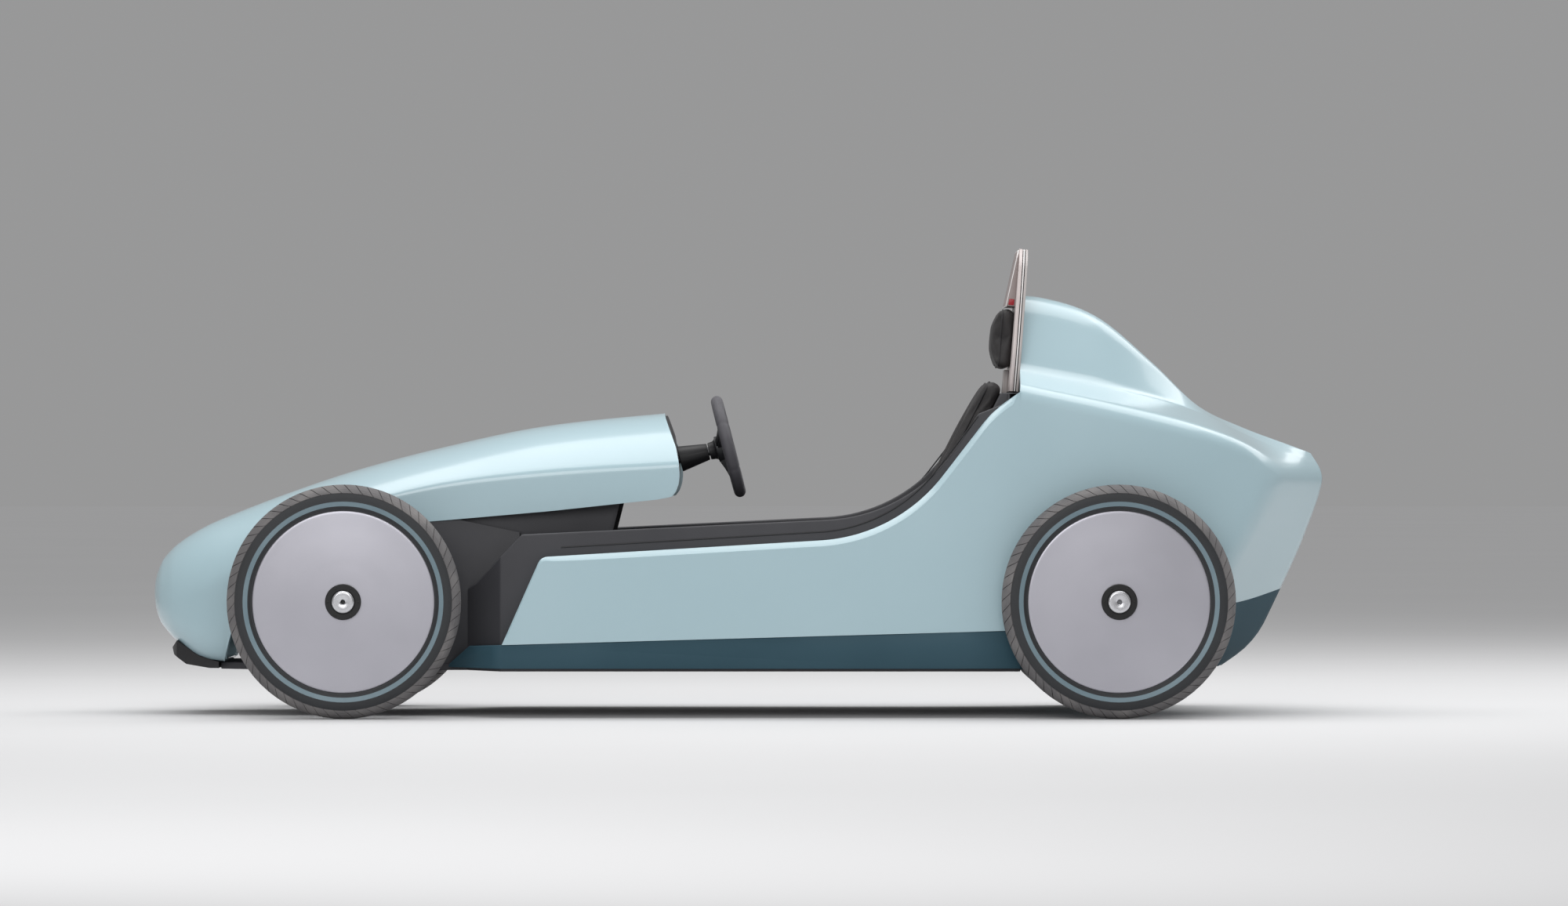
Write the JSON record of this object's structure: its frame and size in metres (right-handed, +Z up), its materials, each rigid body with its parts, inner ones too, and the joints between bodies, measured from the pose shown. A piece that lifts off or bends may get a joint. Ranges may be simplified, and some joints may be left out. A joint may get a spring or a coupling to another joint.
{
  "type": "electric pedal go-kart",
  "caption": "Single-seat electric pedal go-kart with a pale blue retro racing body, disc wheels, pedals, steering and a head fairing.",
  "frame": {"origin": "on the floor, under the middle of the overall length and width", "axes": "+X forward, +Y to the driver's left, +Z up"},
  "size_m": [2.708, 0.88, 1.0724],
  "materials": {
    "ice_paint": "gloss",
    "teal_paint": "satin",
    "charcoal": "matte",
    "black_plastic": "matte",
    "black_rubber": "matte",
    "tyre_rubber": "matte",
    "satin_disc": "satin",
    "black_hub": "satin",
    "bright_cap": "brushed",
    "steel": "brushed",
    "seat_leather": "matte",
    "pale_plate": "satin"
  },
  "bodies": {
    "chassis": {"floor_pan": "black_plastic", "footwell": "charcoal", "tub_wall_left": "charcoal", "tub_wall_right": "charcoal", "seat_bulkhead": "charcoal", "bonnet": "ice_paint", "dash_panel": "black_plastic", "column_shroud": "black_plastic", "side_panel_left": "ice_paint", "side_panel_right": "ice_paint", "sills": "teal_paint", "tail_shell": "ice_paint", "diffuser": "teal_paint", "headrest_plate": "pale_plate", "headrest_pad": "seat_leather", "headrest_bracket": "steel", "seat_back": "seat_leather", "seat_base": "seat_leather", "front_bumper": "black_rubber", "front_axle": "steel", "rear_axle": "steel", "drive_motor": "black_plastic", "battery_pack": "black_plastic", "pedal_unit": "black_plastic"},
    "steering": {"steering_rim": "black_rubber", "steering_spokes": "black_plastic", "steering_shaft": "steel"},
    "steer_left": {"knuckle_left": "steel"},
    "steer_right": {"knuckle_right": "steel"},
    "link": {"track_rod": "steel"},
    "cranks": {"crank": "steel"},
    "foot_left": {"pedal_left": "black_plastic"},
    "foot_right": {"pedal_right": "black_plastic"},
    "wheel_front_left": {"tyre_front_left": "tyre_rubber", "disc_front_left": "satin_disc", "hub_front_left": "black_hub", "cap_front_left": "bright_cap"},
    "wheel_front_right": {"tyre_front_right": "tyre_rubber", "disc_front_right": "satin_disc", "hub_front_right": "black_hub", "cap_front_right": "bright_cap"},
    "wheel_rear_left": {"tyre_rear_left": "tyre_rubber", "disc_rear_left": "satin_disc", "hub_rear_left": "black_hub", "cap_rear_left": "bright_cap"},
    "wheel_rear_right": {"tyre_rear_right": "tyre_rubber", "disc_rear_right": "satin_disc", "hub_rear_right": "black_hub", "cap_rear_right": "bright_cap"}
  },
  "joints": [
    {"name": "steering_turn", "type": "hinge", "parent": "chassis", "child": "steering", "pos_m": [0.025, 0, 0.616], "axis": [0.9681, 0, -0.2504], "range_deg": [-45, 45]},
    {"name": "steer_left_turn", "type": "hinge", "parent": "chassis", "child": "steer_left", "pos_m": [0.89, 0.335, 0.265], "axis": [0, 0, 1], "range_deg": [-25, 25]},
    {"name": "steer_right_turn", "type": "hinge", "parent": "chassis", "child": "steer_right", "pos_m": [0.89, -0.335, 0.265], "axis": [0, 0, 1], "range_deg": [-25, 25]},
    {"name": "link_turn", "type": "hinge", "parent": "steer_left", "child": "link", "pos_m": [0.97, 0.335, 0.304], "axis": [0, 0, 1], "range_deg": [-25, 25]},
    {"name": "crank_turn", "type": "hinge", "parent": "chassis", "child": "cranks", "pos_m": [0.61, 0, 0.345], "axis": [0, 1, 0], "continuous": true},
    {"name": "foot_left_turn", "type": "hinge", "parent": "cranks", "child": "foot_left", "pos_m": [0.765, 0.119, 0.345], "axis": [0, 1, 0], "continuous": true},
    {"name": "foot_right_turn", "type": "hinge", "parent": "cranks", "child": "foot_right", "pos_m": [0.455, -0.119, 0.345], "axis": [0, 1, 0], "continuous": true},
    {"name": "wheel_front_left_turn", "type": "hinge", "parent": "steer_left", "child": "wheel_front_left", "pos_m": [0.89, 0.4, 0.265], "axis": [0, 1, 0], "continuous": true},
    {"name": "wheel_front_right_turn", "type": "hinge", "parent": "steer_right", "child": "wheel_front_right", "pos_m": [0.89, -0.4, 0.265], "axis": [0, 1, 0], "continuous": true},
    {"name": "wheel_rear_left_turn", "type": "hinge", "parent": "chassis", "child": "wheel_rear_left", "pos_m": [-0.86, 0.4, 0.265], "axis": [0, 1, 0], "continuous": true},
    {"name": "wheel_rear_right_turn", "type": "hinge", "parent": "chassis", "child": "wheel_rear_right", "pos_m": [-0.86, -0.4, 0.265], "axis": [0, 1, 0], "continuous": true}
  ],
  "couplings": [
    {"joint": "steer_left_turn", "follows": "steering_turn", "ratio": -0.55556},
    {"joint": "steer_right_turn", "follows": "steering_turn", "ratio": -0.55556},
    {"joint": "link_turn", "follows": "steering_turn", "ratio": 0.55556}
  ]
}
